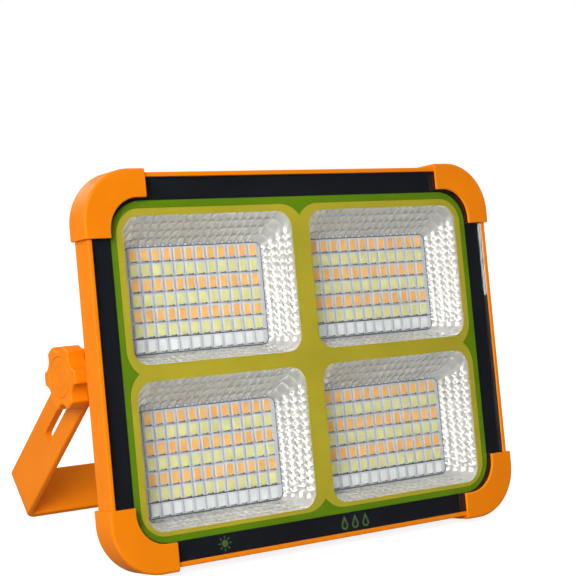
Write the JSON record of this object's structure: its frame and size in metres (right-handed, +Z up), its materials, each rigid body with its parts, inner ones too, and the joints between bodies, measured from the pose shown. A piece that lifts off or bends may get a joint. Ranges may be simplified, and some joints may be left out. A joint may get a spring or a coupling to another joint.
{
  "type": "solar flood light",
  "caption": "Portable rectangular solar flood light with four LED windows, corner guards and a slotted U stand that swings and locks with star knobs.",
  "frame": {"origin": "on the floor under the middle of the overall box, with the lamp standing on its lower guards and its stand", "axes": "+X to the lamp's left-hand side as it throws light, along the pivot axis; light is thrown towards -Y and a little up; +Z up"},
  "size_m": [0.207, 0.115, 0.1559],
  "materials": {
    "orange_plastic": "satin moulded orange ABS",
    "guard_plastic": "orange impact-modified plastic",
    "clear_panel": "clear polished acrylic",
    "printed_film": "black, green and olive printed film",
    "foam": "closed-cell foam",
    "silicone": "translucent grey silicone",
    "metallised": "vacuum-metallised plastic",
    "led_board": "white solder mask on aluminium-clad board",
    "warm_phosphor": "warm-white phosphor chip",
    "daylight_phosphor": "daylight phosphor chip",
    "clear_chip": "clear signal chip",
    "aluminium_plate": "bare rolled aluminium",
    "solar_sheet": "white glass-fibre backsheet",
    "wafer": "dark blue polycrystalline silicon",
    "solar_cover": "clear laminate",
    "battery_wrap": "shrink-wrapped steel can",
    "nickel": "nickel strip",
    "white_nylon": "natural nylon",
    "black_plastic": "black plastic",
    "circuit": "green solder mask",
    "zinc_steel": "bright zinc plated steel",
    "orange_rubber": "orange silicone rubber",
    "light_bar": "frosted acrylic"
  },
  "bodies": {
    "lamp_head": {"guard_screws": "zinc_steel", "plate_screws": "zinc_steel", "control_screws": "zinc_steel", "pivot_nut_left": "zinc_steel", "pivot_nut_right": "zinc_steel", "usb_a_socket": "zinc_steel", "usb_c_socket": "zinc_steel", "front_frame": "orange_plastic", "back_flange": "orange_plastic", "rear_housing": "orange_plastic", "corner_guard_upper_left": "guard_plastic", "corner_guard_upper_right": "guard_plastic", "corner_guard_lower_left": "guard_plastic", "corner_guard_lower_right": "guard_plastic", "front_lens": "clear_panel", "printed_mask": "printed_film", "lens_gasket": "foam", "housing_seal": "silicone", "reflector_upper_left": "metallised", "reflector_upper_right": "metallised", "reflector_lower_left": "metallised", "reflector_lower_right": "metallised", "led_board_upper_left": "led_board", "led_board_upper_right": "led_board", "led_board_lower_left": "led_board", "led_board_lower_right": "led_board", "warm_leds": "warm_phosphor", "daylight_leds": "daylight_phosphor", "signal_leds": "clear_chip", "indicator_leds": "clear_chip", "heat_plate": "aluminium_plate", "solar_backsheet": "solar_sheet", "solar_cells": "wafer", "solar_cover": "solar_cover", "battery_cell_1": "battery_wrap", "battery_cell_2": "battery_wrap", "battery_cell_3": "battery_wrap", "battery_cell_4": "battery_wrap", "battery_holder": "white_nylon", "nickel_strips": "nickel", "control_board": "circuit", "tact_switch": "black_plastic", "indicator_window": "light_bar"},
    "stand_pivot": {"slot_bush_left": "white_nylon", "slot_bush_right": "white_nylon"},
    "stand": {"stand_bracket": "orange_plastic"},
    "knob_left_assembly": {"knob_left": "orange_plastic", "knob_stud_left": "zinc_steel", "knob_cap_left": "orange_plastic", "knob_washer_left": "zinc_steel"},
    "knob_right_assembly": {"knob_right": "orange_plastic", "knob_stud_right": "zinc_steel", "knob_cap_right": "orange_plastic", "knob_washer_right": "zinc_steel"},
    "button": {"power_button": "orange_rubber", "switch_plunger": "black_plastic"},
    "cover": {"port_cover": "orange_rubber"}
  },
  "joints": [
    {"name": "stand_swing", "type": "hinge", "parent": "lamp_head", "child": "stand_pivot", "pos_m": [0, -0.00843, 0.072], "axis": [1, 0, 0], "range_deg": [-53.7, 126.3]},
    {"name": "stand_slide", "type": "slide", "parent": "stand_pivot", "child": "stand", "axis": [0, -0.6339, 0.7734], "range_m": [0, 0.006]},
    {"name": "knob_left_turn", "type": "hinge", "parent": "lamp_head", "child": "knob_left_assembly", "pos_m": [0, -0.00843, 0.072], "axis": [-1, 0, 0], "range_deg": [0, 270]},
    {"name": "knob_right_turn", "type": "hinge", "parent": "lamp_head", "child": "knob_right_assembly", "pos_m": [0, -0.00843, 0.072], "axis": [1, 0, 0], "range_deg": [0, 270]},
    {"name": "button_press", "type": "slide", "parent": "lamp_head", "child": "button", "axis": [0, -0.2481, -0.9687], "range_m": [0, 0.0008], "stiffness_N_per_m": 1500},
    {"name": "cover_open", "type": "hinge", "parent": "lamp_head", "child": "cover", "pos_m": [0, 0.00112, 0.13026], "axis": [-1, 0, 0], "range_deg": [-110, 0]}
  ]
}
